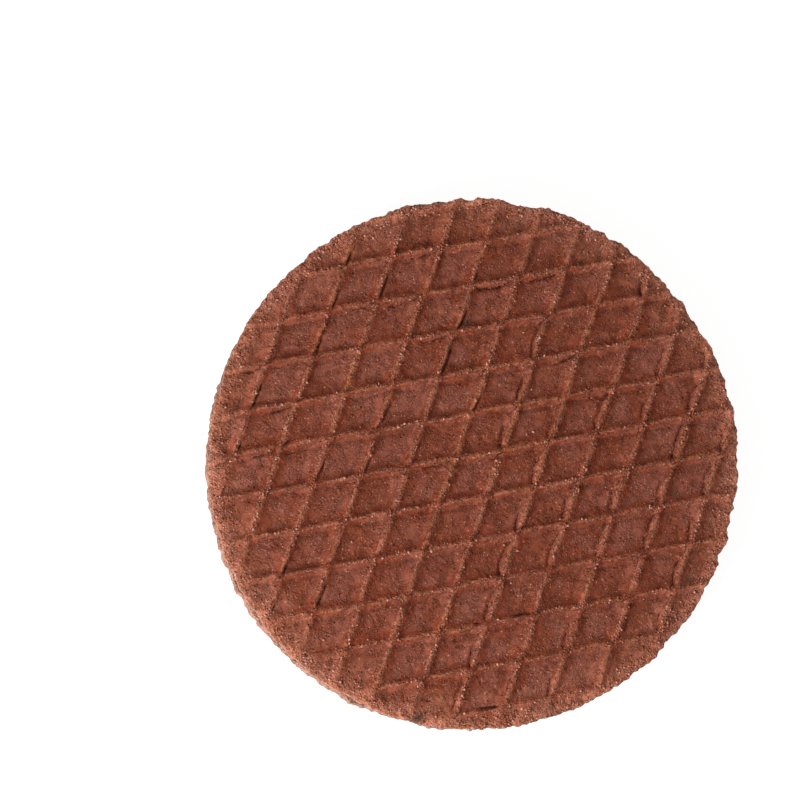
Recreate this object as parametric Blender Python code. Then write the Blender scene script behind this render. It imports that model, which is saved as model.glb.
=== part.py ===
"""Cocoa stroopwafel: two round waffle halves with a layer of caramel syrup between them.

Units are metres and +Z is up. The wafer lies on z = 0 with its centre on the Z axis.
The ridged face that shows is the top one, and the underside carries the same lattice.
"""

import math

import bmesh
import bpy
from mathutils import Vector

MM = 0.001

# ---- Driving dimensions ------------------------------------------------------------------

WAFER_RADIUS = 40.0 * MM
HALF_THICKNESS = 2.6 * MM            # one waffle half, from its cut face to its ridge crests
SYRUP_THICKNESS = 1.3 * MM
SEAM_CLEARANCE = 0.3 * MM            # kept between layers that touch in the real wafer

# The waffle iron's lattice: two families of parallel ridges, 60 degrees apart.
RIDGE_PITCH = 6.33 * MM              # from one ridge to the next, square to the ridges
SHALLOW_RIDGE_ANGLE = math.radians(10.6)
LATTICE_ANGLE = math.radians(60.0)
CREST_WIDTH = 0.8 * MM
POCKET_DEPTH = 0.9 * MM
POCKET_WALL_RUN = 0.9 * MM           # how far a sloping pocket wall reaches across
POCKET_CORNER_TRIM = 0.7 * MM        # blunts the two sharp corners of each rhombus
POCKET_DEPTH_SPREAD = 0.12           # share by which one pocket differs from the next

# Where a ridge crossing lies, seen from the ridged side.
TOP_CROSSING = Vector((-2.64 * MM, 0.88 * MM))
UNDERSIDE_CROSSING = Vector((0.0, 0.0))

# The rim, pressed round by the cutter, and the plain band that the pockets stop short of.
OUTLINE_SEGMENTS = 96
RIM_BAND = 1.6 * MM
RIM_PROFILE = (                      # (distance in from the outline, share of the thickness)
    (0.15 * MM, 0.0),
    (0.0, 0.30),
    (0.0, 0.62),
    (0.30 * MM, 0.86),
    (0.90 * MM, 1.0),
)
OUTLINE_WAVES = (                    # (waves round the rim, height, phase)
    (2, 0.10 * MM, 0.7),
    (5, 0.07 * MM, 2.1),
    (11, 0.06 * MM, 0.3),
)
RIM_NICKS = (                        # (direction, depth, half width as an angle)
    (math.radians(79.0), 0.55 * MM, math.radians(4.0)),
    (math.radians(42.0), 0.35 * MM, math.radians(3.0)),
    (math.radians(340.0), 0.30 * MM, math.radians(3.0)),
)

# The syrup stops just inside the rim, further in at some places than at others.
SYRUP_SETBACK = 0.8 * MM
SYRUP_WAVES = (
    (3, 0.25 * MM, 1.2),
    (8, 0.18 * MM, 0.4),
    (17, 0.12 * MM, 2.5),
)
SYRUP_PROFILE = (
    (0.35 * MM, 0.0),
    (0.0, 0.35),
    (0.0, 0.65),
    (0.35 * MM, 1.0),
)

COCOA_WAFFLE = (0.205, 0.062, 0.040)
CARAMEL_SYRUP = (0.260, 0.085, 0.030)


# ---- Helpers -----------------------------------------------------------------------------

def remove_everything():
    for item in list(bpy.data.objects):
        bpy.data.objects.remove(item, do_unlink=True)


def plain_material(name, colour, roughness):
    material = bpy.data.materials.new(name)
    material.use_nodes = True
    shader = material.node_tree.nodes["Principled BSDF"]
    shader.inputs["Base Color"].default_value = (*colour, 1.0)
    shader.inputs["Roughness"].default_value = roughness
    shader.inputs["Metallic"].default_value = 0.0
    return material


def add_object(name, bm, material=None):
    mesh = bpy.data.meshes.new(name)
    bmesh.ops.recalc_face_normals(bm, faces=bm.faces)
    bm.to_mesh(mesh)
    bm.free()
    item = bpy.data.objects.new(name, mesh)
    bpy.context.collection.objects.link(item)
    if material is not None:
        mesh.materials.append(material)
    return item


def add_cutter(name, bm):
    item = add_object(name, bm)
    item.hide_render = True
    item.display_type = "WIRE"
    return item


def add_boolean(item, operation, cutter):
    modifier = item.modifiers.new(cutter.name, "BOOLEAN")
    modifier.operation = operation
    modifier.solver = "EXACT"
    modifier.object = cutter


def wave_sum(angle, waves):
    return sum(height * math.sin(count * angle + phase) for count, height, phase in waves)


def rim_radius(angle):
    """Radius of the cut rim in one direction, with its waves and its nicks."""
    radius = WAFER_RADIUS + wave_sum(angle, OUTLINE_WAVES)
    for direction, depth, half_width in RIM_NICKS:
        away = math.remainder(angle - direction, math.tau) / half_width
        radius -= depth * math.exp(-away * away)
    return radius


def syrup_radius(angle):
    return rim_radius(angle) - SYRUP_SETBACK + wave_sum(angle, SYRUP_WAVES)


def layered_disc(radius_at, profile, thickness):
    """A closed disc from z = 0 to the thickness, whose edge follows the profile."""
    bm = bmesh.new()
    rings = []
    for inset, share in profile:
        ring = []
        for step in range(OUTLINE_SEGMENTS):
            angle = math.tau * step / OUTLINE_SEGMENTS
            radius = radius_at(angle) - inset
            ring.append(bm.verts.new((radius * math.cos(angle), radius * math.sin(angle),
                                      share * thickness)))
        rings.append(ring)
    for lower, upper in zip(rings, rings[1:]):
        for step in range(OUTLINE_SEGMENTS):
            following = (step + 1) % OUTLINE_SEGMENTS
            bm.faces.new((lower[step], lower[following], upper[following], upper[step]))
    bm.faces.new(list(reversed(rings[0])))
    bm.faces.new(rings[-1])
    return bm


# ---- The pockets that the iron presses between the ridges --------------------------------

def ridge_directions():
    shallow = Vector((math.cos(SHALLOW_RIDGE_ANGLE), math.sin(SHALLOW_RIDGE_ANGLE)))
    steep_angle = SHALLOW_RIDGE_ANGLE + LATTICE_ANGLE
    steep = Vector((math.cos(steep_angle), math.sin(steep_angle)))
    return shallow, steep


def rhombus(centre, inset):
    """Outline of one pocket, inset from the ridges' centre lines, sharp corners blunted."""
    shallow, steep = ridge_directions()
    side = (RIDGE_PITCH - 2.0 * inset) / math.sin(LATTICE_ANGLE)
    half_a = shallow * side / 2.0
    half_b = steep * side / 2.0
    near = centre - half_a - half_b
    far = centre + half_a + half_b
    return (
        near + steep * POCKET_CORNER_TRIM,
        near + shallow * POCKET_CORNER_TRIM,
        centre + half_a - half_b,
        far - steep * POCKET_CORNER_TRIM,
        far - shallow * POCKET_CORNER_TRIM,
        centre - half_a + half_b,
    )


def add_frustum(bm, lower_outline, lower_z, upper_outline, upper_z):
    lower = [bm.verts.new((point.x, point.y, lower_z)) for point in lower_outline]
    upper = [bm.verts.new((point.x, point.y, upper_z)) for point in upper_outline]
    count = len(lower)
    for step in range(count):
        following = (step + 1) % count
        bm.faces.new((lower[step], lower[following], upper[following], upper[step]))
    bm.faces.new(list(reversed(lower)))
    bm.faces.new(upper)


def pocket_cutters(name, crossing):
    """All pockets of one face as tapered cutters that stand out above the ridge crests."""
    shallow, steep = ridge_directions()
    spacing = RIDGE_PITCH / math.sin(LATTICE_ANGLE)
    reach = int(2.0 * WAFER_RADIUS / RIDGE_PITCH) + 1
    overshoot = 0.3 * MM
    slope = POCKET_WALL_RUN / POCKET_DEPTH
    smallest_bite = 0.6 * MM
    floor_limit = WAFER_RADIUS - RIM_BAND - POCKET_WALL_RUN - smallest_bite
    bm = bmesh.new()
    for i in range(-reach, reach):
        for j in range(-reach, reach):
            centre = crossing + shallow * spacing * (i + 0.5) + steep * spacing * (j + 0.5)
            depth = POCKET_DEPTH * (1.0 + POCKET_DEPTH_SPREAD * math.sin(2.3 * i + 3.9 * j))
            floor = rhombus(centre, CREST_WIDTH / 2.0 + depth * slope)
            if min(point.length for point in floor) > floor_limit:
                continue
            mouth = rhombus(centre, CREST_WIDTH / 2.0 - overshoot * slope)
            add_frustum(bm, floor, HALF_THICKNESS - depth, mouth, HALF_THICKNESS + overshoot)
    return add_cutter(name, bm)


def pocket_limit(name):
    """A tapered disc: the pockets are kept inside it, so a plain band is left at the rim."""
    slope = POCKET_WALL_RUN / POCKET_DEPTH
    bottom_z = HALF_THICKNESS - 2.0 * POCKET_DEPTH
    top_z = HALF_THICKNESS + POCKET_DEPTH
    crest_radius = WAFER_RADIUS - RIM_BAND
    bm = bmesh.new()
    bmesh.ops.create_cone(
        bm,
        cap_ends=True,
        segments=OUTLINE_SEGMENTS,
        radius1=crest_radius - (HALF_THICKNESS - bottom_z) * slope,
        radius2=crest_radius + (top_z - HALF_THICKNESS) * slope,
        depth=top_z - bottom_z,
    )
    bmesh.ops.translate(bm, vec=(0.0, 0.0, (top_z + bottom_z) / 2.0), verts=bm.verts)
    return add_cutter(name, bm)


# ---- The three layers --------------------------------------------------------------------

def waffle_half(name, radius_at, crossing, material):
    """One half with its cut face on z = 0 and its ridges facing up."""
    half = add_object(name, layered_disc(radius_at, RIM_PROFILE, HALF_THICKNESS), material)
    cutters = pocket_cutters(name + "_pockets", crossing)
    limit = pocket_limit(name + "_pocket_limit")
    add_boolean(cutters, "INTERSECT", limit)
    add_boolean(half, "DIFFERENCE", cutters)
    for cutter in (cutters, limit):
        cutter.parent = half
    return half


def build_stroopwafel():
    waffle = plain_material("cocoa_waffle", COCOA_WAFFLE, 0.75)
    caramel = plain_material("caramel_syrup", CARAMEL_SYRUP, 0.30)

    # The lower half is the same pressing turned over, so its cut face looks up.
    bottom = waffle_half("wafer_bottom", lambda angle: rim_radius(-angle),
                         UNDERSIDE_CROSSING, waffle)
    bottom.rotation_euler = (math.pi, 0.0, 0.0)
    bottom.location.z = HALF_THICKNESS

    syrup_bottom = HALF_THICKNESS + SEAM_CLEARANCE
    syrup = add_object("syrup_filling", layered_disc(syrup_radius, SYRUP_PROFILE,
                                                     SYRUP_THICKNESS), caramel)
    syrup.location.z = syrup_bottom

    top = waffle_half("wafer_top", rim_radius, TOP_CROSSING, waffle)
    top.location.z = syrup_bottom + SYRUP_THICKNESS + SEAM_CLEARANCE


remove_everything()
build_stroopwafel()
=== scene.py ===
"""Cocoa stroopwafel: its two pressed waffle halves, the caramel between them and their crumbs."""

import itertools
import math
from types import SimpleNamespace

import bpy
import numpy as np
from mathutils import Matrix, Vector


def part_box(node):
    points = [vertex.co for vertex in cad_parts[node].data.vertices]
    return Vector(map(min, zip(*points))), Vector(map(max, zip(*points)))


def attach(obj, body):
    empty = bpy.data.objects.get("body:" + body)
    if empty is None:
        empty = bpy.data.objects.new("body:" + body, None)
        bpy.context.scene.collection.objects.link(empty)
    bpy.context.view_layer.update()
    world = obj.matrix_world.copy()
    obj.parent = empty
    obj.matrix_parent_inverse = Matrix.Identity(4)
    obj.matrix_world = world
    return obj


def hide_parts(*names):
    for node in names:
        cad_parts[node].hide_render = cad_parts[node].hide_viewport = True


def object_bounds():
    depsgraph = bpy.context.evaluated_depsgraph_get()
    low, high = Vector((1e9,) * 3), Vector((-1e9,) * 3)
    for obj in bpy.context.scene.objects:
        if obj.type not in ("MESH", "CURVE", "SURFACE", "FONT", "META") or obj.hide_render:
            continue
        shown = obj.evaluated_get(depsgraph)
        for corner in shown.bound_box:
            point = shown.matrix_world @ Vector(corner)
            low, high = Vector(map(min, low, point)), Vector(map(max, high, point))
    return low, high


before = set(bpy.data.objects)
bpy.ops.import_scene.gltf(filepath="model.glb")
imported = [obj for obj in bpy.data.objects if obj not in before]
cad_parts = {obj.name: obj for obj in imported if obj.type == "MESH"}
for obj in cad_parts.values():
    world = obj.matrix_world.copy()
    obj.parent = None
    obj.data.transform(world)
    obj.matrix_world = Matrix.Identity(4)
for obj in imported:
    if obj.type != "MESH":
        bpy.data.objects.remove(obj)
cad_low, cad_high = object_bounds()


# ---- Lower waffle half -------------------------------------------------------------------
# One of the two slices of a cocoa waffle, baked hard against the iron's engraved plate and
# then cut flat through its middle. It lies with its ridges down and its cut face up.

MM = 0.001
HALF_LOW, HALF_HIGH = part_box("wafer_bottom")
WAFER_RADIUS = (HALF_HIGH.x - HALF_LOW.x) / 2 / MM
HALF_THICKNESS = (HALF_HIGH.z - HALF_LOW.z) / MM

RIDGE_PITCH = 6.33
SHALLOW_RIDGE_ANGLE = math.radians(10.6)
STEEP_RIDGE_ANGLE = math.radians(70.6)
POCKET_DEPTH = 0.75

# The wafer is a little longer in this direction than across it.
LONG_WAY = math.radians(35)

# A ridge has a round crest between two hollow flanks: on the left of a steep ridge or above a
# shallow one, then on its other side. A flank has its run, the place where it is steepest, the
# power of its tail and the depth of the groove at its foot. A ridge sways between its crossings.
# "tears" says how often its dough tears from the floor, and torn_side where most tears open: -1
# is the left or the upper side, and 1 the other. All lengths are in millimetres.
STEEP_RIDGE = SimpleNamespace(
    flanks=((1.62, 0.28, 1.30, 0.12), (2.10, 0.30, 1.85, 0.00)), sway=0.45, tears=1.00, torn_side=-1)
SHALLOW_RIDGE = SimpleNamespace(
    flanks=((1.50, 0.30, 1.50, 0.00), (0.74, 0.24, 1.10, 0.22)), sway=0.40, tears=0.55, torn_side=1)

# How soon a groove ends towards its ridge and away from it.
GROOVE_INSIDE = 0.14
GROOVE_OUTSIDE = 0.58

# The rim's raggedness, and its nicks: direction in degrees, depth and half width in degrees.
RAGGED_TOWARDS = math.radians(50)
NICKS = ((79.0, 0.55, 4.0), (42.0, 0.35, 2.2), (34.0, 0.30, 1.6), (340.0, 0.30, 2.0))

# The side on which the rim is rubbed most, and how far the face sinks at the rim.
WORN_TOWARDS = math.radians(220)
RIM_SINK = 0.50


def gradient_noise(x, y, wavelength, seed):
    """Smooth noise between about -1 and 1, for arrays of places in millimetres."""
    table = np.random.default_rng(seed).uniform(0.0, math.tau, (256, 256))
    column, row = np.floor(x / wavelength), np.floor(y / wavelength)
    across, along = x / wavelength - column, y / wavelength - row
    total = np.zeros_like(across)
    for step_x in (0, 1):
        for step_y in (0, 1):
            turn = table[(column + step_x).astype(int) & 255, (row + step_y).astype(int) & 255]
            dx, dy = across - step_x, along - step_y
            fade_x = 1 - abs(dx) ** 3 * (10 - 15 * abs(dx) + 6 * dx * dx)
            fade_y = 1 - abs(dy) ** 3 * (10 - 15 * abs(dy) + 6 * dy * dy)
            total += fade_x * fade_y * (np.cos(turn) * dx + np.sin(turn) * dy)
    return total * 1.6


def ramp(value, low, high):
    """0 below low, 1 above high, with a soft start and end."""
    share = np.clip((value - low) / (high - low), 0.0, 1.0)
    return share * share * (3 - 2 * share)


def lot(column, row, seed):
    """A random number from 0 to 1 for each pair of whole numbers."""
    table = np.random.default_rng(seed).uniform(0.0, 1.0, (64, 64))
    return table[column.astype(int) & 63, row.astype(int) & 63]


def lattice_place(x, y, crossing, seed):
    """How many pitches a place lies past the chosen crossing, across each ridge family."""
    wander_x = 0.10 * gradient_noise(x, y, 9.0, seed) + 0.07 * gradient_noise(x, y, 2.2, seed + 1)
    wander_y = 0.12 * gradient_noise(x, y, 9.0, seed + 2) + 0.08 * gradient_noise(x, y, 2.0, seed + 3)
    wobble = 0.03 * gradient_noise(x, y, 1.0, seed + 4)
    wander_x, wander_y = wander_x + wobble, wander_y + wobble
    x, y = x - crossing[0], y - crossing[1]
    steep = (x * math.sin(STEEP_RIDGE_ANGLE) - y * math.cos(STEEP_RIDGE_ANGLE) + wander_x) / RIDGE_PITCH
    shallow = (x * math.sin(SHALLOW_RIDGE_ANGLE) - y * math.cos(SHALLOW_RIDGE_ANGLE) + wander_y) / RIDGE_PITCH
    return steep, shallow


def ridge_profile(across, flanks, swell, sharpness):
    """The height across a ridge, from 1 on its crest to 0 on the floor and below that in a groove."""
    width, knee, tail, groove = (np.where(across < 0, before, after) for before, after in zip(*flanks))
    width = width * swell
    knee = knee * sharpness
    reached = np.clip(abs(across), 0, width)
    top = 1 / (knee ** 2 + 2 * knee * (width - knee) / tail)
    slope_end = 2 * top * knee / (tail * (width - knee) ** (tail - 1))
    flank = slope_end * (width - np.maximum(reached, knee)) ** tail
    beyond = abs(across) - width
    groove_run = np.where(beyond < 0, GROOVE_INSIDE, GROOVE_OUTSIDE)
    profile = np.where(reached < knee, 1 - top * reached ** 2, flank)
    return profile - groove * np.exp(-(beyond / groove_run) ** 2)


def ridge_family(line, run, middle, ridge, seed):
    """The height of one family of ridges, and where their dough has torn from the floor.

    A tear opens at the foot that faces the wafer's middle, because the waffle shrinks as it cools,
    and more often the farther out the ridge lies. It runs to the lower or right end of the ridge.
    """
    column, row = np.round(line), np.floor(run)
    along = run - row
    reach = np.sin(math.pi * along)
    across = (line - column) * RIDGE_PITCH + ridge.sway * (lot(column, row, seed) - 0.5) * reach
    swell = 1.0 + 0.50 * (lot(column, row, seed + 1) - 0.5) * reach
    swell += 0.25 * gradient_noise(line * RIDGE_PITCH, run * RIDGE_PITCH, 2.4, seed + 2)
    profile = ridge_profile(across, ridge.flanks, swell, 0.7 + 0.6 * lot(column, row, seed + 9))

    outness = abs(column - middle)
    inward = np.where(column > middle, -1.0, 1.0)
    often_torn = inward == ridge.torn_side
    inner_side = across * inward
    common = ridge.tears * np.where(often_torn, 0.26 + 0.12 * outness, 0.10 + 0.07 * outness)
    starts = np.where(often_torn, 0.0, 0.30) + 0.50 * lot(column, row, seed + 3)
    ends = 1.0 - 0.12 * lot(column, row, seed + 4) ** 2
    opened = np.where(lot(column, row, seed + 5) < common, 1.0, 0.0)
    opened = opened * ramp(along, starts, starts + 0.14) * (1 - ramp(along, ends - 0.10, ends + 0.01))

    foot = 0.14 + (0.50 + 0.35 * lot(column, row, seed + 6)) * np.maximum(reach, 0) ** 0.7
    foot *= np.where(often_torn, 1.0, 0.55)
    foot += 0.09 * gradient_noise(line * RIDGE_PITCH, run * RIDGE_PITCH, 1.3, seed + 7)
    foot = np.maximum(foot, 0.05)
    gap = inner_side - foot
    rolled_edge = np.sqrt(np.clip(1 - (inner_side / foot) ** 2, 0.0, 1.0))
    profile += opened * np.where(inner_side > 0, rolled_edge - profile, 0.0) * 0.75
    trench = opened * (0.32 * np.exp(-(gap / 0.22) ** 2) - 0.12 * np.exp(-((gap - 0.55) / 0.35) ** 2))
    tear_width = opened * (0.04 + 0.10 * lot(column, row, seed + 8) ** 2) * (1 - ramp(abs(gap), 0.5, 0.9))
    return np.clip(profile, -0.25, 1.1), trench, gap, tear_width


ROOT_OF_THREE = 1.73


def corner_tears(steep, shallow, middle, seed):
    """Short splits from a crossing into the sharp corner of the pocket nearer the wafer's middle.

    The ridge families cross at 60 degrees, which makes the way aside a share of the root of 3.
    """
    column, row = np.round(steep), np.round(shallow)
    right_of, below = (steep - column) * RIDGE_PITCH, (shallow - row) * RIDGE_PITCH
    inward = np.where(column - row > middle[0] - middle[1], 1.0, -1.0)
    along = (below - right_of) * inward
    length = 0.9 + 2.4 * lot(column, row, seed) ** 2
    bow = (lot(column, row, seed + 1) - 0.5) * 0.5 * np.sin(np.clip(along, 0, 3))
    aside = (right_of + below) / ROOT_OF_THREE - bow
    opened = np.where(lot(column, row, seed + 2) < 0.32, 1.0, 0.0)
    opened = opened * ramp(along, -0.1, 0.35) * (1 - ramp(along, length * 0.5, length))
    return aside, opened * (0.05 + 0.09 * lot(column, row, seed + 3)) * (1 - ramp(abs(aside), 0.5, 0.9))


def rim_outline(angle, long_way, seed):
    """The cut rim's radius: a little longer one way, ragged, with a few nicks."""
    x, y = WAFER_RADIUS * np.cos(angle), WAFER_RADIUS * np.sin(angle)
    ragged = 1.20 + 0.15 * np.cos(angle - RAGGED_TOWARDS)
    radius = WAFER_RADIUS + 0.22 * np.cos(2 * (angle - long_way)) + 0.10 * np.cos(angle - long_way)
    radius += 0.04 * np.sin(5 * angle + 2.1)
    radius += ragged * (0.26 * gradient_noise(x, y, 3.1, seed) + 0.17 * gradient_noise(x, y, 1.2, seed + 1))
    radius += 0.13 * ragged * gradient_noise(x, y, 0.62, seed + 2)
    for direction, depth, half_width in NICKS:
        away = (np.degrees(angle) - direction + 180) % 360 - 180
        radius -= depth * np.exp(-(away / half_width) ** 2)
    return radius


def mesh_piece(name, places, faces):
    """A smooth mesh object from places in millimetres."""
    mesh = bpy.data.meshes.new(name)
    mesh.from_pydata((places * MM).tolist(), [], faces)
    mesh.shade_smooth()
    piece = bpy.data.objects.new(name, mesh)
    bpy.context.collection.objects.link(piece)
    return piece


def relief(x, y, crossing, long_way, seed):
    """The pressed face above the cut face, in millimetres, and what the surface carries there."""
    angle = np.arctan2(y, x)
    from_rim = rim_outline(angle, long_way, seed + 10) - np.hypot(x, y)
    steep, shallow = lattice_place(x, y, crossing, seed)
    middle = lattice_place(np.zeros(1), np.zeros(1), crossing, seed)
    a, trench_a, steep_gap, steep_tear = ridge_family(
        steep, shallow, middle[0], STEEP_RIDGE, seed + 40)
    b, trench_b, shallow_gap, shallow_tear = ridge_family(
        shallow, steep, middle[1], SHALLOW_RIDGE, seed + 60)
    corner_gap, corner_tear = corner_tears(steep, shallow, middle, seed + 80)
    joined = (np.maximum(a, 0) ** 3 + (np.maximum(b, 0) * 0.92) ** 3) ** (1 / 3)
    height = np.minimum(joined, 1.08) + np.minimum(a, 0) + np.minimum(b, 0)
    trench = trench_a + trench_b + 0.25 * ramp(corner_tear, 0, 0.05) * np.exp(-(corner_gap / 0.25) ** 2)

    # The pockets fade towards the rim, most on the worn side, and the face sinks there.
    worn = 0.5 + 0.5 * np.cos(angle - WORN_TOWARDS)
    fade_run = 2.6 + 1.6 * worn + 1.1 * gradient_noise(x, y, 4.0, seed + 12)
    fade = 1 - (0.30 + 0.45 * worn) * (1 - ramp(from_rim, 0.2, fade_run))
    crumbly = 1 - ramp(from_rim, -0.5, fade_run + 1.0 * (1 - worn))
    pocket = 2 * lot(np.floor(steep), np.floor(shallow), seed + 4) - 1
    depth = POCKET_DEPTH * fade * (1 + 0.14 * pocket)
    z = HALF_THICKNESS - RIM_SINK * (1 - ramp(from_rim, -3.0, 5.0)) - depth * (1 - height + trench)
    z += 0.10 * gradient_noise(x, y, 16.0, seed + 8) + 0.08 * gradient_noise(x, y, 6.0, seed + 5) - 0.10
    z += 0.05 * gradient_noise(x, y, 3.0, seed + 9)
    z += (0.05 - 0.03 * abs(height) + 0.03 * crumbly) * gradient_noise(x, y, 1.7, seed + 7)
    z += (0.022 + 0.018 * abs(height) + 0.07 * crumbly) * gradient_noise(x, y, 0.9, seed + 6)
    return z, {
        "steep": steep, "shallow": shallow, "height": np.maximum(height, 0) * fade,
        "steep_height": np.maximum(a, 0) * fade, "shallow_height": np.maximum(b, 0) * fade,
        "from_rim": from_rim, "crumbly": crumbly, "cut_edge": np.zeros_like(x),
        "steep_gap": steep_gap, "steep_tear": steep_tear * fade, "shallow_gap": shallow_gap,
        "shallow_tear": shallow_tear * fade, "corner_gap": corner_gap, "corner_tear": corner_tear * fade}


# The top edge is rounded over a short run. The cut wall is grained more finely up and down than
# around, and draws in by the tuck over its lowest share, just above the cut face.
SHOULDER_RUN = 0.12
SHOULDER_DROP = 0.05
WALL_LEVELS = 7
WALL_GRAIN = 3.0
WALL_TUCK = 0.22
TUCK_SHARE = 0.2
SHARP_EDGE = math.radians(58)


def pressed_half(name, crossing, long_way, seed, grid):
    """One waffle half with its cut face at z = 0 and its ridges up, as a closed mesh."""
    # The face is a square grid drawn out to a disc, so that its cells stay about as large.
    line = np.linspace(-1.0, 1.0, grid + 1)
    gx, gy = np.meshgrid(line, line, indexing="ij")
    wide = abs(gx) > abs(gy)
    ring = np.where(wide, gx, gy)
    safe = np.where(ring == 0, 1.0, ring)
    turn = np.where(wide, math.pi / 4 * gy / safe, math.pi / 2 - math.pi / 4 * gx / safe)
    share = abs(ring)
    angle = np.arctan2(ring * np.sin(turn), ring * np.cos(turn))

    start = 1 - 1.15 * SHOULDER_RUN / WAFER_RADIUS
    bend = np.clip((share - start) / (1 - start), 0, 1) * math.pi / 2
    radius = rim_outline(angle, long_way, seed + 10)
    r = (radius - SHOULDER_RUN) * np.minimum(share / start, 1.0) + SHOULDER_RUN * np.sin(bend)
    x, y = r * np.cos(angle), r * np.sin(angle)
    z, carried_values = relief(x, y, crossing, long_way, seed)
    z -= SHOULDER_DROP * (1 - np.cos(bend))

    # The rim walk: once round the grid's border, counter-clockwise.
    n = grid
    border = [(i, 0) for i in range(n)] + [(n, j) for j in range(n)]
    border += [(i, n) for i in range(n, 0, -1)] + [(0, j) for j in range(n, 0, -1)]
    border = tuple(np.array(border).T)
    index = np.arange((n + 1) * (n + 1)).reshape(n + 1, n + 1)
    corners = (index[:-1, :-1], index[1:, :-1], index[1:, 1:], index[:-1, 1:])
    verts = [np.stack([x.ravel(), y.ravel(), z.ravel()], axis=1)]
    quads = [np.stack(corners, axis=-1).reshape(-1, 4)]
    data = {label: [value.ravel()] for label, value in carried_values.items()}

    # The cut side wall, from the shoulder down to the cut face.
    rim_angle = angle[border]
    edge_radius = rim_outline(rim_angle, long_way, seed + 10)
    last = index[border]
    base = verts[0].shape[0]
    for level in range(1, WALL_LEVELS + 1):
        part = level / WALL_LEVELS
        wall_z = z[border] * (1 - part)
        wx, wy = edge_radius * rim_angle, wall_z * WALL_GRAIN
        bulge = 0.10 * gradient_noise(wx, wy, 1.3, seed + 20) + 0.07 * gradient_noise(wx, wy, 0.5, seed + 21)
        wall_r = edge_radius + bulge - WALL_TUCK * max(0.0, part - (1 - TUCK_SHARE)) / TUCK_SHARE
        verts.append(np.stack([wall_r * np.cos(rim_angle), wall_r * np.sin(rim_angle), wall_z], axis=1))
        for label, value in carried_values.items():
            data[label].append(np.ones(len(last)) if label == "cut_edge" else value[border])
        here = base + (level - 1) * len(last) + np.arange(len(last))
        quads.append(np.stack([last, np.roll(last, -1), np.roll(here, -1), here], axis=1)[:, ::-1])
        last = here

    piece = mesh_piece(name, np.concatenate(verts), np.concatenate(quads).tolist() + [last.tolist()])
    for label, parts in data.items():
        values = np.concatenate(parts).astype(np.float32)
        piece.data.attributes.new(label, "FLOAT", "POINT").data.foreach_set("value", values)
    piece.data.set_sharp_from_angle(angle=SHARP_EDGE)
    return piece


class Amount:
    """A number that varies over a surface, built up as nodes by ordinary sums."""

    def __init__(self, tree, socket):
        self.tree, self.socket = tree, socket

    def maths(self, operation, *others):
        return surface_maths(self.tree, operation, self, *others)

    def __add__(self, other):
        return self.maths("ADD", other)

    def __radd__(self, other):
        return self.maths("ADD", other)

    def __sub__(self, other):
        return self.maths("SUBTRACT", other)

    def __rsub__(self, other):
        return surface_maths(self.tree, "SUBTRACT", other, self)

    def __mul__(self, other):
        return self.maths("MULTIPLY", other)

    def __abs__(self):
        return self.maths("ABSOLUTE")

    def larger(self, other):
        return self.maths("MAXIMUM", other)

    def above(self, low, high):
        """0 below low, 1 above high, and a smooth rise between them. They may be swapped."""
        node = self.tree.nodes.new("ShaderNodeMapRange")
        node.interpolation_type = "SMOOTHSTEP"
        self.tree.links.new(self.socket, node.inputs["Value"])
        swapped = low > high
        node.inputs["From Min"].default_value = high if swapped else low
        node.inputs["From Max"].default_value = low if swapped else high
        node.inputs["To Min"].default_value = 1.0 if swapped else 0.0
        node.inputs["To Max"].default_value = 0.0 if swapped else 1.0
        return Amount(self.tree, node.outputs["Result"])


def surface_maths(tree, operation, *values):
    """One step of maths on a surface, on varying amounts and plain numbers."""
    node = tree.nodes.new("ShaderNodeMath")
    node.operation = operation
    for slot, value in zip(node.inputs, values):
        if isinstance(value, Amount):
            tree.links.new(value.socket, slot)
        else:
            slot.default_value = value
    return Amount(tree, node.outputs["Value"])


def carried(tree, label):
    """A value that the mesh carries at its points."""
    node = tree.nodes.new("ShaderNodeAttribute")
    node.attribute_name = label
    return Amount(tree, node.outputs["Fac"])


def millimetre_place(tree, stretch=(1.0, 1.0, 1.0)):
    """Where a point lies on the object, in millimetres, stretched along the axes if asked."""
    place = tree.nodes.new("ShaderNodeTexCoord")
    scale = tree.nodes.new("ShaderNodeVectorMath")
    scale.operation = "MULTIPLY"
    scale.inputs[1].default_value = tuple(part / MM for part in stretch)
    tree.links.new(place.outputs["Object"], scale.inputs[0])
    return scale.outputs["Vector"]


def cloud(tree, place, size, detail=2.0, roughness=0.5, distortion=0.0, shift=0.0):
    """Cloudy noise from 0 to 1, whose lumps are about size millimetres across."""
    node = tree.nodes.new("ShaderNodeTexNoise")
    node.noise_dimensions = "4D"
    node.inputs["W"].default_value = shift
    node.inputs["Scale"].default_value = 1.0 / size
    node.inputs["Detail"].default_value = detail
    node.inputs["Roughness"].default_value = roughness
    node.inputs["Distortion"].default_value = distortion
    tree.links.new(place, node.inputs["Vector"])
    return Amount(tree, node.outputs["Fac"])


def along_ridges(tree, steep, shallow, across_steep, across_shallow):
    """A place on the ridge lattice, for a pattern drawn out along one family of ridges."""
    join = tree.nodes.new("ShaderNodeCombineXYZ")
    tree.links.new((steep * (RIDGE_PITCH / across_steep)).socket, join.inputs["X"])
    tree.links.new((shallow * (RIDGE_PITCH / across_shallow)).socket, join.inputs["Y"])
    return join.outputs["Vector"]


def grains(tree, place, size):
    """Scattered grains: how far the nearest one is, in grain sizes, and its own random number."""
    node = tree.nodes.new("ShaderNodeTexVoronoi")
    node.inputs["Scale"].default_value = 1.0 / size
    tree.links.new(place, node.inputs["Vector"])
    split = tree.nodes.new("ShaderNodeSeparateColor")
    tree.links.new(node.outputs["Color"], split.inputs["Color"])
    return Amount(tree, node.outputs["Distance"]), Amount(tree, split.outputs["Red"])


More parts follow.
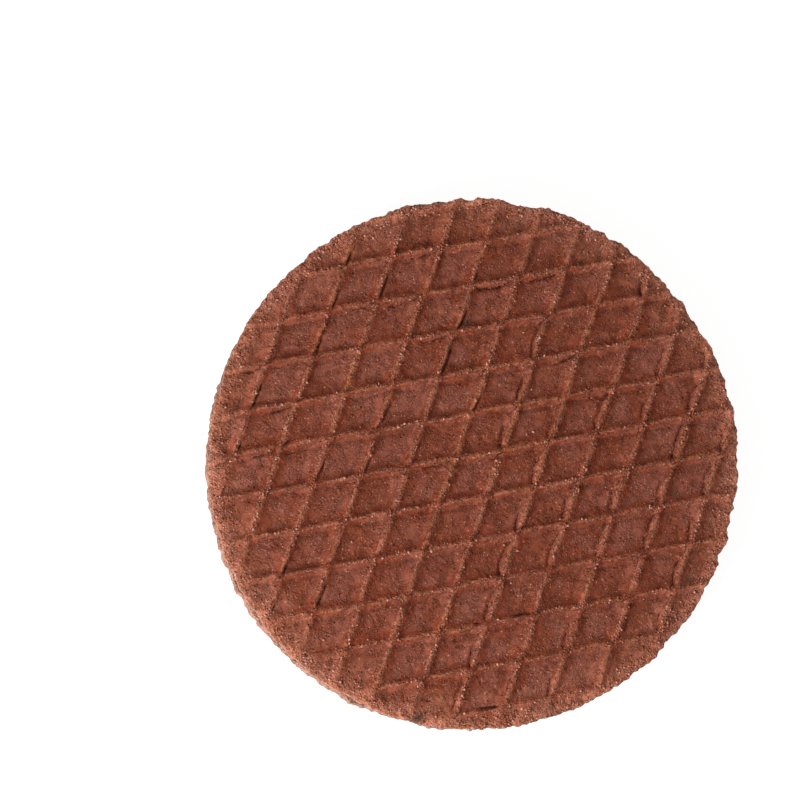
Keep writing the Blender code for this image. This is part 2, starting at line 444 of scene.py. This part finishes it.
def draw_by_lot(tree, column, row, shift):
    """A random number for each pair of whole numbers."""
    join = tree.nodes.new("ShaderNodeCombineXYZ")
    tree.links.new(column.socket, join.inputs["X"])
    tree.links.new(row.socket, join.inputs["Y"])
    join.inputs["Z"].default_value = shift
    node = tree.nodes.new("ShaderNodeTexWhiteNoise")
    tree.links.new(join.outputs["Vector"], node.inputs["Vector"])
    return Amount(tree, node.outputs["Value"])


def tint(tree, under, over, share):
    """Colour under with colour over laid on it by share."""
    node = tree.nodes.new("ShaderNodeMix")
    node.data_type = "RGBA"
    colour_slots = [slot for slot in node.inputs if slot.type == "RGBA"]
    for slot, colour in zip(colour_slots, (under, over)):
        if isinstance(colour, tuple):
            slot.default_value = (*colour, 1.0)
        else:
            tree.links.new(colour, slot)
    tree.links.new(share.socket, node.inputs["Factor"])
    return [slot for slot in node.outputs if slot.type == "RGBA"][0]


def add_sheen_and_dust(tree, colour, sheen_and_dust, amount):
    """The colour with some of the pale dust and painted sheen's colour added or, where the amount is below 0,
    taken away.
    """
    node = tree.nodes.new("ShaderNodeVectorMath")
    node.operation = "MULTIPLY_ADD"
    node.inputs[0].default_value = sheen_and_dust
    tree.links.new(amount.socket, node.inputs[1])
    tree.links.new(colour, node.inputs[2])
    return node.outputs["Vector"]


FLOOR_BROWN = (0.1800, 0.0418, 0.0192)
FILM_BROWN = (0.2080, 0.0608, 0.0373)
FLANK_BROWN = (0.1980, 0.0500, 0.0264)
# Painted shade: the darker, redder brown of the flanks that face away from the light.
SHADED_FLANK_BROWN = (0.1950, 0.0322, 0.0100)
CREST_BROWN = (0.2790, 0.0828, 0.0426)
RIM_BROWN = (0.4820, 0.1750, 0.1015)
CUT_EDGE_BROWN = (0.3600, 0.1830, 0.1300)
OCHRE_BROWN = (0.3200, 0.0980, 0.0330)
# Pale specks of crumb, partly painted glints.
PALE_SPECK_AND_GLINT = (0.4900, 0.2200, 0.1560)
# Partly scorching, partly painted shade, for a few shaded pocket corners.
CHAR_AND_SHADE = (0.0500, 0.0340, 0.0220)
# Pale dust in the grain, partly painted sheen.
SHEEN_AND_DUST_BROWN = (1.0, 0.60, 0.48)
# Painted shade for the tears, pits, pores, slits and wrinkle lines.
CREVICE_SHADE_BROWN = (0.0850, 0.0180, 0.0075)


def torn_dough(tree, place, ragged):
    """1 in the tears where the ridges have come away from the floor, and 0 elsewhere."""
    wander = cloud(tree, place, 1.10, 1.0, 0.4, shift=7.0)
    thick = cloud(tree, place, 0.95, 2.0, shift=6.0).above(0.32, 0.62)
    tears = []
    for family in ("steep", "shallow", "corner"):
        gap = carried(tree, family + "_gap") + (wander - 0.5) * 0.7 + (ragged - 0.5) * 0.25
        width = carried(tree, family + "_tear") * (thick * 1.35 - 0.05)
        tears.append((width - abs(gap)).above(0.0, 0.07))
    return tears[0].larger(tears[1]).larger(tears[2])


def crest_slits(tree, place, on, crossed):
    """1 in the short slits of the crests' loose dough, drawn out along each ridge."""
    need = cloud(tree, place, 1.6, 1.0, shift=51.0).above(0.40, 0.60) * 0.10 + crossed * 0.05
    slits = []
    for family, size, shift in (("steep", (0.26, 0.95), 52.0), ("shallow", (1.05, 0.24), 53.0)):
        lattice = along_ridges(tree, on.steep, on.shallow, *size)
        drawn_out = cloud(tree, lattice, 1.0, 1.0, 0.6, shift=shift)
        on_ridge = carried(tree, family + "_height").above(0.40, 0.62)
        slits.append((drawn_out + need - 0.70).above(0.0, 0.05) * on_ridge)
    return slits[0].larger(slits[1])


def dough_marks(tree, place, on):
    """The dough's grain and all that marks it, mostly from 0 to 1."""
    marks = SimpleNamespace()
    marks.crossed = (carried(tree, "steep_height") * carried(tree, "shallow_height")).above(0.18, 0.60)
    marks.rough = on.crumbly.larger(on.height.above(0.45, 0.80))
    marks.crest = on.height.above(0.55, 0.90)
    marks.loose = marks.crest.larger(on.crumbly)
    # The flanks that face away from the light: right of a steep ridge and above a shallow one.
    right_of_steep = on.steep.maths("FRACT").above(0.50, 0.34)
    above_shallow = on.shallow.maths("FRACT").above(0.58, 0.74)
    marks.sheltered = right_of_steep.larger(above_shallow) * on.height.above(0.02, 0.50)

    marks.fine = cloud(tree, place, 0.34, 2.0, 0.55, 1.6, shift=2.0)
    marks.coarse = cloud(tree, place, 0.85, 2.0, 0.55, shift=4.0)
    marks.mottle = cloud(tree, place, 3.2, 2.0, shift=24.0)
    marks.uneven = cloud(tree, place, 3.4, 1.0, shift=41.0).above(0.36, 0.64) * 1.1 + 0.40
    ragged = cloud(tree, place, 0.90, 3.0, 0.6, shift=5.0)
    marks.torn = torn_dough(tree, place, ragged)
    marks.slit = crest_slits(tree, place, on, marks.crossed)

    # Wrinkles of the dried skin: short squiggles, finer curls and broad swirls of flow.
    squiggle = abs(cloud(tree, place, 0.62, 1.0, 0.5, 1.3, shift=9.0) - 0.5)
    squiggle_patch = cloud(tree, place, 1.5, 1.0, shift=12.0).above(0.41, 0.55)
    marks.squiggle_swell = squiggle * squiggle_patch
    marks.squiggle_line = squiggle.above(0.045, 0.0) * squiggle_patch
    curl = abs(cloud(tree, place, 0.50, 1.0, 0.5, 0.8, shift=61.0) - 0.5)
    curl_patch = cloud(tree, place, 1.2, 1.0, shift=62.0).above(0.43, 0.54)
    marks.curl_line = curl.above(0.042, 0.0) * curl_patch
    flow = cloud(tree, place, 2.7, 0.6, 0.4, shift=31.0)
    flow_patch = cloud(tree, place, 4.0, 1.0, shift=33.0).above(0.44, 0.58)
    marks.flow_line = (flow * 36.0 + ragged * 2.0).maths("SINE") * flow_patch

    # Pores of the floors, and pits, sand and pale specks of the loose crumb.
    pore_far, pore_lot = grains(tree, place, 1.0)
    marks.pore = (pore_far + ragged * 0.2 - pore_lot * 0.12).above(0.21, 0.13) * pore_lot.above(0.60, 0.75)
    marks.sand_far, marks.sand_lot = grains(tree, place, 0.36)
    marks.lump_far, lump_lot = grains(tree, place, 0.62)
    marks.pit = (marks.lump_far + ragged * 0.2).above(0.40, 0.22) * lump_lot.above(0.35, 0.65) * marks.rough
    crumb_far, crumb_lot = grains(tree, place, 0.28)
    spread = cloud(tree, place, 2.6, 2.0, shift=17.0)
    speck_need = 0.93 - marks.loose * spread.above(0.42, 0.60) * 0.5
    marks.speck = crumb_far.above(0.45, 0.22) * (crumb_lot - speck_need).above(0.0, 0.06)
    fleck_far, fleck_lot = grains(tree, place, 0.50)
    marks.fleck = fleck_far.above(0.26, 0.10) * fleck_lot.above(0.50, 0.80)
    return marks


def dough_colour(tree, place, on, marks):
    """Brown floors under a paler film, redder flanks, lighter crests, and a pale rubbed rim.

    It paints shade on the flanks away from the light, in a few pocket corners and in the tears,
    pits, pores and wrinkle lines, and paints glints and sheen into the pale specks and dust.
    """
    pocket = (on.steep.maths("FLOOR"), on.shallow.maths("FLOOR"))
    filmed = (marks.mottle + (draw_by_lot(tree, *pocket, 9.0) - 0.5) * 0.22).above(0.38, 0.64)
    colour = tint(tree, FLOOR_BROWN, FILM_BROWN, filmed * 0.75)
    colour = tint(tree, colour, FLANK_BROWN, on.height.above(0.06, 0.45))
    # Painted shade: the flanks away from the light take a darker, redder brown.
    colour = tint(tree, colour, SHADED_FLANK_BROWN, marks.sheltered * (0.8 - on.crumbly * 0.6))
    colour = tint(tree, colour, CREST_BROWN, marks.crest * (1.0 - marks.crossed * 0.8))
    baked = on.from_rim.above(22.0, 34.0) * 0.17 + marks.crossed * 0.04 - 0.02
    browned = (cloud(tree, place, 9.0, 1.0, shift=20.0) + baked).above(0.57, 0.65)
    colour = tint(tree, colour, OCHRE_BROWN, marks.crest * browned * marks.fine.above(0.40, 0.60) * 0.8)
    rubbed = on.from_rim.above(6.2, 4.0) * 0.15 + on.crumbly * on.crumbly * 0.64
    colour = tint(tree, colour, RIM_BROWN, rubbed * (0.75 + marks.coarse * 0.5))
    crumb_shows = cloud(tree, place, 0.8, 3.0, 0.6, shift=26.0).above(0.34, 0.56)
    colour = tint(tree, colour, CUT_EDGE_BROWN, on.cut_edge * (0.62 + crumb_shows * 0.38))
    # Pale specks of crumb and flecks, partly painted glints.
    colour = tint(tree, colour, PALE_SPECK_AND_GLINT, (marks.speck * 0.75).larger(marks.fleck * 0.85))

    # A few pockets darken in the corner right of a steep ridge and above a shallow one, where both
    # ridges shade it from the light: partly scorching, partly painted shade.
    scorch_and_shade = draw_by_lot(tree, *pocket, 3.0).above(0.84, 0.90)
    scorch_and_shade = scorch_and_shade * on.steep.maths("FRACT").above(0.42, 0.18)
    scorch_and_shade = scorch_and_shade * on.shallow.maths("FRACT").above(0.62, 0.90)
    scorch_and_shade = scorch_and_shade * on.height.above(0.45, 0.10) * marks.coarse.above(0.36, 0.58)
    colour = tint(tree, colour, CHAR_AND_SHADE, scorch_and_shade)

    # Painted shade in the hollows: the tears, pores, squiggle and curl lines, flow-line grooves, pits and
    # slits.
    crevice_shade = (marks.torn * 0.88).larger(marks.pore * 0.7).larger(marks.squiggle_line * 0.60)
    crevice_shade = crevice_shade.larger(marks.flow_line.above(0.55, 1.0) * 0.16).larger(marks.pit * (0.34 - on.crumbly * 0.14))
    crevice_shade = crevice_shade.larger(marks.slit * 0.75).larger(marks.curl_line * (0.40 + marks.rough * 0.36))
    colour = tint(tree, colour, CREVICE_SHADE_BROWN, crevice_shade)

    # Pale dust in the grain, partly painted sheen, with less of it on the flanks away from the light as
    # painted shade.
    sheen_and_dust = marks.fine - 0.5
    sheen_and_dust_amount = sheen_and_dust * abs(sheen_and_dust) * (0.8 + sheen_and_dust * 1.6) + sheen_and_dust * 0.03
    sheen_and_dust_amount = sheen_and_dust_amount + (marks.coarse - 0.5) * 0.04 + (marks.mottle - 0.5) * 0.04
    sheen_and_dust_amount = sheen_and_dust_amount * (marks.uneven + marks.loose * 1.6 + on.crumbly * 0.8)
    return add_sheen_and_dust(tree, colour, SHEEN_AND_DUST_BROWN, sheen_and_dust_amount * (1.0 - marks.sheltered * 0.6))


def dough_relief(on, marks):
    """The height of the dough's grain and marks, in millimetres."""
    grit = marks.uneven + marks.rough * 0.8 + on.crumbly * 1.2
    grit = grit * (1.0 - marks.sheltered * (1.0 - marks.rough) * 0.6)
    height = marks.fine * 0.055 * grit
    height = height + marks.coarse * (0.16 + on.crumbly * 0.10 - marks.sheltered * 0.06)
    height = height + marks.squiggle_swell * 0.27
    height = height - marks.sand_far * (0.010 + marks.sand_lot * 0.045) * grit
    height = height - marks.lump_far * (marks.rough * 0.12 + on.crumbly * 0.06)
    height = height - marks.flow_line * 0.030 + marks.speck * 0.08
    height = height - marks.curl_line * (0.05 + marks.rough * 0.07)
    height = height - marks.squiggle_line * 0.06 - marks.pore * 0.15
    return height - marks.pit * (0.10 - on.crumbly * 0.05) - marks.torn * 0.30 - marks.slit * 0.20


def raise_surface(tree, shader, height):
    """Bump from a height in millimetres."""
    bump = tree.nodes.new("ShaderNodeBump")
    bump.inputs["Strength"].default_value = 1.0
    bump.inputs["Distance"].default_value = MM
    tree.links.new(height.socket, bump.inputs["Height"])
    tree.links.new(bump.outputs["Normal"], shader.inputs["Normal"])


def new_material(name):
    """A material with nodes, its node tree and its shader."""
    material = bpy.data.materials.new(name)
    material.use_nodes = True
    return material, material.node_tree, material.node_tree.nodes["Principled BSDF"]


def cocoa_waffle():
    """Baked cocoa dough."""
    material, tree, shader = new_material("cocoa_waffle")
    place = millimetre_place(tree)
    labels = ("steep", "shallow", "height", "from_rim", "crumbly", "cut_edge")
    on = SimpleNamespace(**{label: carried(tree, label) for label in labels})
    marks = dough_marks(tree, place, on)
    tree.links.new(dough_colour(tree, place, on, marks), shader.inputs["Base Color"])
    tree.links.new((0.58 + marks.fine * 0.2 + marks.torn * 0.4).socket, shader.inputs["Roughness"])
    shader.inputs["Specular IOR Level"].default_value = 0.16
    raise_surface(tree, shader, dough_relief(on, marks))
    return material


waffle = cocoa_waffle()
LOWER_CROSSING = (0.0, 0.0)
LOWER_SEED = 31
lower = pressed_half("lower_waffle_half", LOWER_CROSSING, -LONG_WAY, LOWER_SEED, grid=200)
lower.data.transform(Matrix.Translation((0, 0, HALF_HIGH.z)) @ Matrix.Rotation(math.pi, 4, "X"))
# The ridges that bear on the table are flat there.
for vertex in lower.data.vertices:
    vertex.co.z = max(vertex.co.z, 0.0)
lower.data.materials.append(waffle)
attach(lower, "root")
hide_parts("wafer_bottom")


# ---- Caramel syrup layer -----------------------------------------------------------------
# Thick syrup of sugar, butter and cinnamon, boiled to a caramel and spread hot on the lower half.
# The upper half squeezes it out nearly to the rim, and it glues the two together as it cools.

SYRUP_LOW, SYRUP_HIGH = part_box("syrup_filling")
SYRUP_RINGS = 14
SYRUP_SEGMENTS = 720

# How far the layer's edge keeps from the cut rim, how far its flat faces stop short of that edge,
# how deep it sinks into each half, and the circle that its unevenness is drawn on.
SYRUP_SETBACK = 0.95
SYRUP_BEAD = 0.90
SYRUP_SINK = 0.34
UNEVEN_CIRCLE = 40


def syrup_layer(name, low, high):
    """A flat layer whose edge is a rounded, uneven bead set back from the cut rim."""
    angle = np.arange(SYRUP_SEGMENTS) / SYRUP_SEGMENTS * math.tau
    x, y = UNEVEN_CIRCLE * np.cos(angle), UNEVEN_CIRCLE * np.sin(angle)
    radius = WAFER_RADIUS - SYRUP_SETBACK + 0.40 * gradient_noise(x, y, 5.0, 71)
    radius += 0.5 * gradient_noise(x, y, 1.6, 72)
    half = (high - low) / 2
    verts, quads = [], []
    for ring in range(SYRUP_RINGS):
        turn = math.pi * ring / (SYRUP_RINGS - 1)
        r = radius - SYRUP_BEAD + half * math.sin(turn)
        z = np.full(SYRUP_SEGMENTS, (low + high) / 2 + half * math.cos(turn))
        verts.append(np.stack([r * np.cos(angle), r * np.sin(angle), z], axis=1))
    for ring in range(SYRUP_RINGS - 1):
        here = ring * SYRUP_SEGMENTS + np.arange(SYRUP_SEGMENTS)
        below = here + SYRUP_SEGMENTS
        quads.append(np.stack([here, below, np.roll(below, -1), np.roll(here, -1)], axis=1))
    faces = np.concatenate(quads).tolist()
    faces.append(list(range(SYRUP_SEGMENTS)))
    faces.append(list(range((SYRUP_RINGS - 1) * SYRUP_SEGMENTS, SYRUP_RINGS * SYRUP_SEGMENTS))[::-1])
    return mesh_piece(name, np.concatenate(verts), faces)


SYRUP_DARK = (0.0860, 0.0270, 0.0130)
SYRUP_LIGHT = (0.1450, 0.0570, 0.0330)
# Painted shade in the hollows of burst bubbles.
SYRUP_BUBBLE_SHADE = (0.0420, 0.0120, 0.0060)


def caramel_syrup():
    """Glossy brown caramel with darker streaks, a little sugar and small burst bubbles, with painted shade in
    their hollows.
    """
    material, tree, shader = new_material("caramel_syrup")
    place = millimetre_place(tree)
    streak = cloud(tree, millimetre_place(tree, (1.0, 1.0, 3.0)), 2.2, 2.0, 0.55, 0.6, shift=81.0)
    sugar = cloud(tree, place, 0.34, 3.0, 0.6, shift=82.0)
    bubble_far, bubble_lot = grains(tree, place, 0.60)
    bubble = bubble_far.above(0.32, 0.18) * bubble_lot.above(0.72, 0.86)
    colour = tint(tree, SYRUP_DARK, SYRUP_LIGHT, streak.above(0.36, 0.64))
    # Painted shade in the burst bubbles' hollows.
    colour = tint(tree, colour, SYRUP_BUBBLE_SHADE, bubble * 0.8)
    tree.links.new(colour, shader.inputs["Base Color"])
    tree.links.new((0.22 + sugar * 0.28).socket, shader.inputs["Roughness"])
    raise_surface(tree, shader, streak * 0.16 + sugar * 0.03 - bubble * 0.10)
    return material


syrup = syrup_layer("caramel_layer", SYRUP_LOW.z / MM - SYRUP_SINK, SYRUP_HIGH.z / MM + SYRUP_SINK)
syrup.data.materials.append(caramel_syrup())
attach(syrup, "root")
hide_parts("syrup_filling")


# ---- Upper waffle half -------------------------------------------------------------------
# The other slice of the same waffle, of the same dough, with the pattern of the iron's other
# plate. It is laid on the hot syrup with its ridges up and pressed down by hand.

TOP_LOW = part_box("wafer_top")[0]
TOP_CROSSING = (-2.92, 0.60)
TOP_SEED = 5
upper = pressed_half("upper_waffle_half", TOP_CROSSING, LONG_WAY, TOP_SEED, grid=300)
upper.data.transform(Matrix.Translation((0, 0, TOP_LOW.z)))
upper.data.materials.append(waffle)
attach(upper, "root")
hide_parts("wafer_top")


# ---- Crumbs ------------------------------------------------------------------------------
# Crumbs of the same cocoa waffle, broken off where the cutter and the iron rubbed it. They
# stick to the crests of the ridges and to the rim.

CRUMB_DRAWS = 60000
CRUMB_SEED = 900
SMALLEST_CRUMB = 0.06
CRUMB_SPREAD = 0.15
CRUMB_LIGHT = (0.4900, 0.2220, 0.1550)
CRUMB_DARK = (0.2300, 0.0560, 0.0240)


def lump_shape():
    """The corners of an icosahedron of radius 1, and its 20 faces, turned outward.

    Before the corners are brought to radius 1, its edges are 2 long.
    """
    golden = (1 + math.sqrt(5)) / 2
    pairs = [(step, reach) for reach in (golden, -golden) for step in (-1, 1)]
    corners = [(step, reach, 0) for step, reach in pairs]
    corners += [(0, step, reach) for step, reach in pairs]
    corners += [(reach, 0, step) for step, reach in pairs]
    corners = np.array(corners)
    faces = []
    for trio in itertools.combinations(range(len(corners)), 3):
        a, b, c = corners[list(trio)]
        if max(np.linalg.norm(b - a), np.linalg.norm(c - b), np.linalg.norm(a - c)) < 2.01:
            outward = np.dot(np.cross(b - a, c - a), a) > 0
            faces.append(trio if outward else trio[::-1])
    return corners / math.hypot(1, golden), np.array(faces)


def crumb_pile(name, seed):
    """One mesh of many small lumps, each half sunk in the upper half's face."""
    draw = np.random.default_rng(seed)
    angle = draw.uniform(0, math.tau, CRUMB_DRAWS)
    r = (WAFER_RADIUS - 0.1) * np.sqrt(draw.uniform(0, 1, CRUMB_DRAWS))
    x, y = r * np.cos(angle), r * np.sin(angle)
    z, carried_values = relief(x, y, TOP_CROSSING, LONG_WAY, TOP_SEED)
    ridge = np.maximum(carried_values["steep_height"], carried_values["shallow_height"])
    near_crest = ramp(ridge, 0.62, 0.92)
    crumbly = ramp(carried_values["crumbly"], 0.1, 0.7)
    patch = gradient_noise(x, y, 5.0, seed + 1) + 0.6 * gradient_noise(x, y, 1.8, seed + 2)
    patch = ramp(patch, 0.00, 0.50)
    wanted = 0.007 + near_crest * (0.05 + 0.85 * patch) + crumbly * (0.34 + 0.55 * patch)
    drawn = draw.uniform(0, 1, CRUMB_DRAWS) < wanted
    kept = np.flatnonzero(drawn & (carried_values["from_rim"] > 0.08))
    count = len(kept)
    size = SMALLEST_CRUMB + CRUMB_SPREAD * draw.uniform(0, 1, count) ** 2.5

    corners, faces = lump_shape()
    shape = corners[None] * draw.uniform(0.65, 1.25, (count, len(corners), 1))
    shape *= draw.uniform(0.7, 1.3, (count, 1, 3))
    shape *= size[:, None, None] * np.array([1.0, 1.0, 0.8])
    centre = np.stack([x[kept], y[kept], z[kept] + size * 0.25], axis=1)
    places = (shape + centre[:, None]).reshape(-1, 3)
    all_faces = (faces[None] + len(corners) * np.arange(count)[:, None, None]).reshape(-1, 3)
    piece = mesh_piece(name, places, all_faces.tolist())
    lightness = np.repeat(draw.uniform(0, 1, count), len(corners)).astype(np.float32)
    piece.data.attributes.new("lightness", "FLOAT", "POINT").data.foreach_set("value", lightness)
    return piece


def cocoa_crumb():
    """Loose baked dough, each crumb of its own brown."""
    material, tree, shader = new_material("cocoa_crumb")
    colour = tint(tree, CRUMB_DARK, CRUMB_LIGHT, carried(tree, "lightness").above(0.30, 1.0))
    tree.links.new(colour, shader.inputs["Base Color"])
    shader.inputs["Roughness"].default_value = 0.7
    shader.inputs["Specular IOR Level"].default_value = 0.30
    return material


crumbs = crumb_pile("crumbs", CRUMB_SEED)
crumbs.data.transform(Matrix.Translation((0, 0, TOP_LOW.z)))
crumbs.data.materials.append(cocoa_crumb())
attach(crumbs, "root")


# ---- Floor, light and camera -------------------------------------------------------------
# A plain pale floor that shows white, one soft round light from the left and a bright even
# surround. The camera looks down on the upper half.

FLOOR_HALF_SIZE = 1.5
FLOOR_GREY = 0.25
FLOOR_GLOW = 0.9
SURROUND_GLOW = 0.42


def pale_floor():
    """A matt grey floor that glows, so that it shows white and still takes a faint shadow."""
    material, _, shader = new_material("pale_floor")
    shader.inputs["Base Color"].default_value = (FLOOR_GREY, FLOOR_GREY, FLOOR_GREY, 1)
    shader.inputs["Roughness"].default_value = 0.9
    shader.inputs["Emission Color"].default_value = (1, 1, 1, 1)
    shader.inputs["Emission Strength"].default_value = FLOOR_GLOW
    return material


floor_mesh = bpy.data.meshes.new("floor")
signs = ((-1, -1), (1, -1), (1, 1), (-1, 1))
floor_mesh.from_pydata([(FLOOR_HALF_SIZE * a, FLOOR_HALF_SIZE * b, 0) for a, b in signs], [], [(0, 1, 2, 3)])
floor_mesh.materials.append(pale_floor())
floor = bpy.data.objects.new("floor", floor_mesh)
bpy.context.collection.objects.link(floor)

world = bpy.data.worlds.new("soft_surround")
world.use_nodes = True
world.node_tree.nodes["Background"].inputs["Color"].default_value = (1, 1, 1, 1)
world.node_tree.nodes["Background"].inputs["Strength"].default_value = SURROUND_GLOW
bpy.context.scene.world = world

KEY_AZIMUTH = math.radians(218)
KEY_ELEVATION = math.radians(30)
KEY_DISTANCE = 0.45
KEY_SIZE = 0.20
KEY_POWER = 3.68
toward_key = Vector((math.cos(KEY_AZIMUTH) * math.cos(KEY_ELEVATION),
                     math.sin(KEY_AZIMUTH) * math.cos(KEY_ELEVATION), math.sin(KEY_ELEVATION)))
key_data = bpy.data.lights.new("window_light", "AREA")
key_data.shape = "DISK"
key_data.size = KEY_SIZE
key_data.energy = KEY_POWER
key = bpy.data.objects.new("window_light", key_data)
key.location = toward_key * KEY_DISTANCE
key.rotation_euler = toward_key.to_track_quat("Z", "Y").to_euler()
bpy.context.collection.objects.link(key)

# The camera looks down from far off, leaning about ten degrees to the near left.
FRAME_WIDTH = 120.11 * MM
LEAN = math.radians(9.5)
LEAN_AZIMUTH = math.radians(217)
LEAN_DIRECTION = Vector((math.cos(LEAN_AZIMUTH), math.sin(LEAN_AZIMUTH), 0))
ROLL = math.radians(0.24)
AIM = Vector((-11.352 * MM, 9.325 * MM, cad_high.z))
camera_data = bpy.data.cameras.new("camera")
camera_data.lens = 250
camera_data.sensor_width = 36
camera = bpy.data.objects.new("camera", camera_data)
bpy.context.collection.objects.link(camera)
distance = FRAME_WIDTH / camera_data.sensor_width * camera_data.lens
back = (LEAN_DIRECTION * math.sin(LEAN) + Vector((0, 0, math.cos(LEAN)))).normalized()
right = Vector((math.sin(ROLL), math.cos(ROLL), 0)).cross(back).normalized()
up = back.cross(right)
turn = Matrix((right, up, back)).transposed().to_4x4()
camera.matrix_world = Matrix.Translation(AIM + back * distance) @ turn
camera_data.clip_start = 0.01
camera_data.clip_end = 10
bpy.context.scene.camera = camera
bpy.context.scene.view_settings.view_transform = "Standard"
